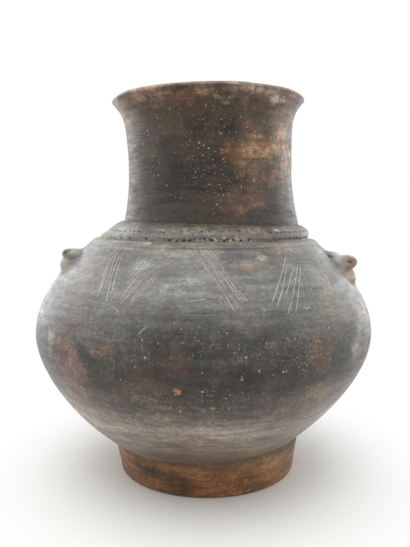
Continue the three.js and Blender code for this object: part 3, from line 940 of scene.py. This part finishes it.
# Lugs: pellets pressed on one another, then smoothed over with a wet finger. A pellet goes by
# the slope of the wall: up along it, reach out of it, width and height on it, droop from square
# in degrees, and how full it is, where 2 is round.
lugs = {
    "left_lug": {
        "angle": 194, "drop": 12.2, "nodes": ["pad", "upper_nub", "lower_nub"],
        "pellets": [
            (-2.5, 2, 18, 18, 0, 2), (6, 10.3, 15.6, 7.6, 39, 2.7), (-3.1, 5.4, 14.6, 11.2, 42, 2.4),
        ],
        # Dents: pixel in the photograph, radius, depth, bareness (below nothing: painted shade in the
        # hollows)
        "dents": [((66.5, 253.2), 0.7, 0.3, -0.4)],
        # How pale the lug is all over, partly wear and partly painted sheen, and at some places: pixel,
        # radius, amount (below nothing: painted shade)
        "wornAndSheen": 0.24, "wear": [((64.5, 250), 4.5, -0.5), ((76, 251), 5, 0.2), ((66, 262), 4, 0.1)],
    },
    "right_lug": {
        "angle": 346, "drop": 14.6, "nodes": ["pad", "top_nub", "upper_nub", "lower_nub"],
        "pellets": [
            (-3.5, 2, 19, 23, 0, 2), (9.4, 7, 12, 5.2, 46, 2.2), (2.2, 13, 16, 10.8, 36, 2.4),
            (-6.4, 5.6, 13, 7, 40, 2.2), (-11, 3.5, 13.6, 7.8, 43, 2.2),
        ],
        "dents": [((348.6, 261.6), 0.9, 0.9, -0.8), ((350.4, 262.8), 0.8, 0.7, -0.8)],
        "wornAndSheen": 0.36, "wear": [((340, 254.5), 4, 0.35), ((354, 262), 6, -0.4), ((348, 276), 4, 0.15)],
    },
}
lugForming = {
    "voxel": 0.42, "passes": 5, "root": 3.5, "fillet": 3.2, "flare": 3.2,
    # Size and depth of the unevenness; how patchy the pale tint of wear and painted sheen is, and from
    # what rise on it is full
    "wobble": [(6, 0.35), (2, 0.1)], "patchiness": 0.7, "patches": 160, "paleFrom": 3.5,
}


def addPellet(bm, pellet, lug):
    up, reach, width, height, droop, fullness = pellet
    drop = breakHeight - lug["drop"]
    at = min(range(1, len(shoulderLine) - 1), key=lambda i: abs(shoulderLine[i].z - drop))
    uphill = (shoulderLine[at + 1] - shoulderLine[at - 1]).normalized()
    made = bmesh.ops.create_icosphere(bm, subdivisions=5, radius=1)["verts"]
    for vert in made:
        vert.co /= sum(abs(part) ** fullness for part in vert.co) ** (1 / fullness)
        depth = reach if vert.co.x > 0 else lugForming["root"]
        vert.co = Vector((vert.co.x * depth, vert.co.y * width / 2, vert.co.z * height / 2))
    lean = math.radians(droop) - math.atan2(-uphill.x, uphill.z)
    place = Matrix.Translation(shoulderLine[at] + uphill * up) @ Matrix.Rotation(lean, 4, "Y")
    turn = Matrix.Rotation(math.radians(lug["angle"]), 4, "Z")
    bmesh.ops.transform(bm, matrix=turn @ place, verts=made)


for name, lug in lugs.items():
    bm = bmesh.new()
    for pellet in lug["pellets"]:
        addPellet(bm, pellet, lug)
    lump = added("lump", bm)
    joined = lump.modifiers.new("joined", "REMESH")
    joined.mode = "VOXEL"
    joined.voxel_size = lugForming["voxel"]
    bpy.context.view_layer.update()
    whole = bpy.data.meshes.new_from_object(lump.evaluated_get(bpy.context.evaluated_depsgraph_get()))
    bpy.data.objects.remove(lump)
    bm = bmesh.new()
    bm.from_mesh(whole)
    for _ in range(lugForming["passes"]):
        bmesh.ops.smooth_vert(
            bm, verts=bm.verts, factor=0.5, use_axis_x=True, use_axis_y=True, use_axis_z=True)
    for vert in bm.verts:
        wobbles = [noise.noise_vector(vert.co / size) * amount for size, amount in lugForming["wobble"]]
        vert.co = settle(vert.co + sum(wobbles, Vector())) * millimetre

    # The clay is spread on to the wall all round, so that no edge shows
    middle = sum((vert.co for vert in bm.verts), Vector()) / len(bm.verts)
    for vert in bm.verts:
        wall, up, _, _ = upperTree.find_nearest(vert.co)
        rise = (vert.co - wall).dot(up) / millimetre
        if rise < lugForming["fillet"]:
            if rise > 0:
                sunkTo = lugForming["fillet"] * (rise / lugForming["fillet"]) ** 1.5
                vert.co -= up * (rise - sunkTo) * millimetre
            outward = vert.co - middle
            outward -= up * outward.dot(up)
            spread = (1 - max(rise, 0) / lugForming["fillet"]) ** 2 * lugForming["flare"]
            vert.co += outward.normalized() * spread * millimetre
    bm.verts.layers.float.new("bareAndSheen")
    bm.verts.layers.float.new("grimeAndShade")
    bareAndSheen = bm.verts.layers.float["bareAndSheen"]
    lugTree = BVHTree.FromBMesh(bm)
    places = [
        (grazed(lugTree, pixel)[0], reach * millimetre, amount) for pixel, reach, amount in lug["wear"]
    ]
    # Pale tint: partly wear, partly painted sheen; spots with an amount below nothing paint shade
    for vert in bm.verts:
        patchy = 1 + lugForming["patchiness"] * noise.noise(vert.co * lugForming["patches"])
        wornAndSheen = lug["wornAndSheen"] * patchy
        for place, reach, amount in places:
            wornAndSheen += amount * math.exp(-((vert.co - place).length / reach) ** 2)
        wall, up, _, _ = upperTree.find_nearest(vert.co)
        rise = (vert.co - wall).dot(up) / millimetre
        vert[bareAndSheen] = max(0, wornAndSheen) * eased(0, lugForming["paleFrom"], rise)
    dented(bm, [(*grazed(lugTree, pixel), *size) for pixel, *size in lug["dents"]], ())
    print("pinched", name, len(bm.faces), "faces")
    finished(name, bm, "lug_clay", [f"{name}_{part}" for part in lug["nodes"]], 60)

# Floor, air and lamps. The air and the far floor are white to the eye and in reflections.
stage = {
    "floor": "e7e7e3", "near": 0.062, "far": 0.235, "stretch": 1.35, "air": 0.55,
    "lamps": [
        # Place, size, watts, aimed at
        ((-0.1, -0.25, 1.15), 1.1, 9, (0, 0, 0.12)),
        ((0.95, 0.75, 0.5), 1.1, 5.5, (0, 0, 0.13)),
        ((-0.95, 0.75, 0.5), 1.1, 7, (0, 0, 0.13)),
        ((1.0, -0.4, 0.5), 0.9, 2.4, (0, 0, 0.13)),
        ((-1.0, -0.4, 0.5), 0.9, 2, (0, 0, 0.13)),
    ],
}


def shownRays(tree):
    path = addNode(tree, "LightPath").outputs
    seen = mathNode(tree, "MAXIMUM", path["Is Camera Ray"], path["Is Glossy Ray"])
    return mathNode(tree, "MAXIMUM", seen, path["Is Transmission Ray"])


bm = bmesh.new()
bmesh.ops.create_grid(bm, x_segments=1, y_segments=1, size=6)
floor = added("floor", bm)
paper = bpy.data.materials.new("paper")
tree = emptied(paper)
place = addNode(tree, "TexCoord").outputs["Object"]
away = vectorNode(tree, "MULTIPLY", place, (stage["stretch"], 1, 1))
away = vectorNode(tree, "LENGTH", away, output="Value")
fade = ranged(tree, away, stage["near"], stage["far"])
matt = addNode(tree, "BsdfDiffuse", {"Color": screenColour(stage["floor"])}).outputs[0]
glow = addNode(tree, "Emission", {"Color": (1, 1, 1, 1), "Strength": 1}).outputs[0]
share = times(tree, fade, shownRays(tree))
shown = addNode(tree, "MixShader", {0: share, 1: matt, 2: glow}).outputs[0]
addNode(tree, "OutputMaterial", {"Surface": shown})
floor.data.materials.append(paper)

world = bpy.data.worlds.new("air")
scene.world = world
tree = emptied(world)
strength = ranged(tree, shownRays(tree), 0, 1, stage["air"], 1)
air = addNode(tree, "Background", {"Color": (1, 1, 1, 1), "Strength": strength})
addNode(tree, "OutputWorld", {"Surface": air.outputs[0]})
for at, size, watts, aim in stage["lamps"]:
    lamp = bpy.data.lights.new("softbox", "AREA")
    lamp.shape = "SQUARE"
    lamp.size = size
    lamp.energy = watts
    softbox = bpy.data.objects.new("softbox", lamp)
    softbox.location = at
    softbox.rotation_euler = (Vector(aim) - Vector(at)).to_track_quat("-Z", "Y").to_euler()
    scene.collection.objects.link(softbox)
print("stage set")
